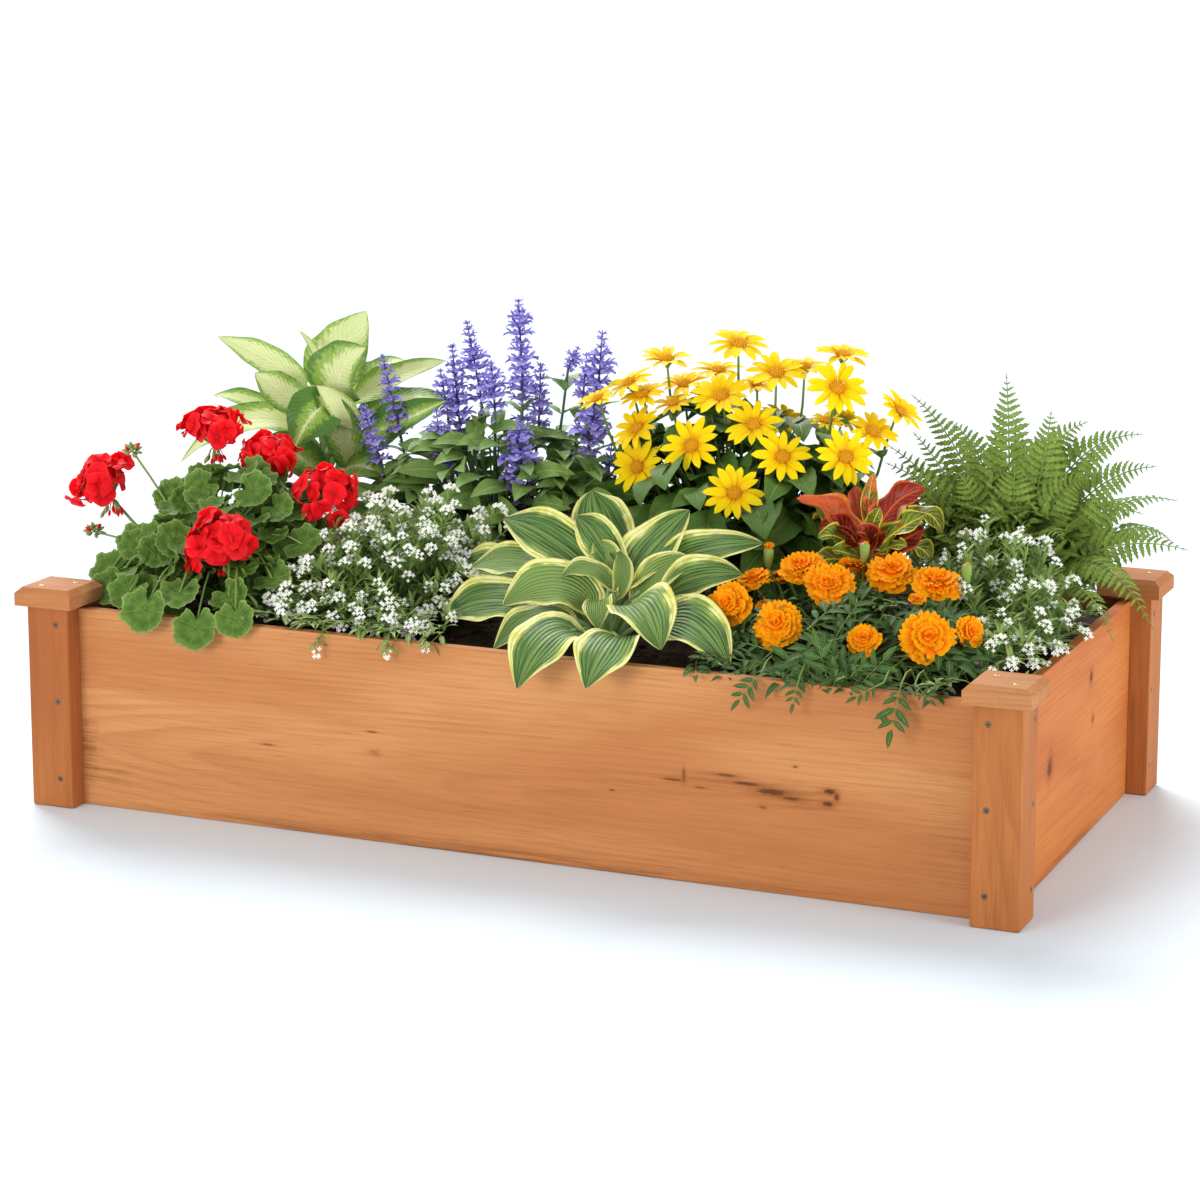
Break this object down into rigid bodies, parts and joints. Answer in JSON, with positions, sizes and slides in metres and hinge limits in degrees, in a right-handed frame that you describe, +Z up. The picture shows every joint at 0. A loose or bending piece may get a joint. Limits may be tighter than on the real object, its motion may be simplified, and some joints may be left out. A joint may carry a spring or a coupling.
{
  "type": "planted raised bed",
  "caption": "Low rectangular wooden raised bed, open underneath, with capped corner posts, filled with soil and mixed flowering and foliage plants.",
  "frame": {"origin": "on the ground under the middle of the wooden box, on the soil's flat underside", "axes": "+X along the box's length to the right, +Y from the front to the back, +Z up"},
  "size_m": [1.3357, 0.6452, 0.5751],
  "materials": {
    "board_wood": "orange-brown stain, satin, grain along the length",
    "post_wood": "orange-brown stain, satin, upright grain",
    "cap_wood": "orange-brown stain, satin, some pale sanded edges",
    "board_screw": "zinc plated, dull",
    "cap_screw": "yellow plated, dull",
    "soil": "dark brown crumbly soil, matte",
    "geranium": "scalloped mid-green leaves and red flower heads, satin",
    "dieffenbachia": "cream and green blades, semi-gloss",
    "salvia": "violet-blue spikes over green leaves, matte",
    "heliopsis": "yellow flowers over dark green leaves, matte",
    "fern": "mid-green fronds, satin",
    "croton": "red, orange and yellow-green leaves, semi-gloss",
    "hosta": "blue-green leaves with cream-yellow margins, satin",
    "marigold": "orange flowers over dark green leaflets, matte",
    "alyssum_left": "white flower clusters over light green leaves, matte",
    "alyssum_right": "white flower clusters over light green leaves, matte"
  },
  "bodies": {
    "root": {"front_board": "board_wood", "back_board": "board_wood", "left_board": "board_wood", "right_board": "board_wood", "front_left_post": "post_wood", "front_left_cap": "cap_wood", "front_left_board_screw_1": "board_screw", "front_left_board_screw_2": "board_screw", "front_left_board_screw_3": "board_screw", "front_left_board_screw_4": "board_screw", "front_left_board_screw_5": "board_screw", "front_left_board_screw_6": "board_screw", "front_left_cap_screw_1": "cap_screw", "front_left_cap_screw_2": "cap_screw", "front_right_post": "post_wood", "front_right_cap": "cap_wood", "front_right_board_screw_1": "board_screw", "front_right_board_screw_2": "board_screw", "front_right_board_screw_3": "board_screw", "front_right_board_screw_4": "board_screw", "front_right_board_screw_5": "board_screw", "front_right_board_screw_6": "board_screw", "front_right_cap_screw_1": "cap_screw", "front_right_cap_screw_2": "cap_screw", "back_left_post": "post_wood", "back_left_cap": "cap_wood", "back_left_board_screw_1": "board_screw", "back_left_board_screw_2": "board_screw", "back_left_board_screw_3": "board_screw", "back_left_board_screw_4": "board_screw", "back_left_board_screw_5": "board_screw", "back_left_board_screw_6": "board_screw", "back_left_cap_screw_1": "cap_screw", "back_left_cap_screw_2": "cap_screw", "back_right_post": "post_wood", "back_right_cap": "cap_wood", "back_right_board_screw_1": "board_screw", "back_right_board_screw_2": "board_screw", "back_right_board_screw_3": "board_screw", "back_right_board_screw_4": "board_screw", "back_right_board_screw_5": "board_screw", "back_right_board_screw_6": "board_screw", "back_right_cap_screw_1": "cap_screw", "back_right_cap_screw_2": "cap_screw", "soil": "soil", "geranium": "geranium", "dieffenbachia": "dieffenbachia", "salvia": "salvia", "heliopsis": "heliopsis", "fern": "fern", "croton": "croton", "hosta": "hosta", "marigold": "marigold", "alyssum_left": "alyssum_left", "alyssum_right": "alyssum_right"}
  },
  "joints": []
}
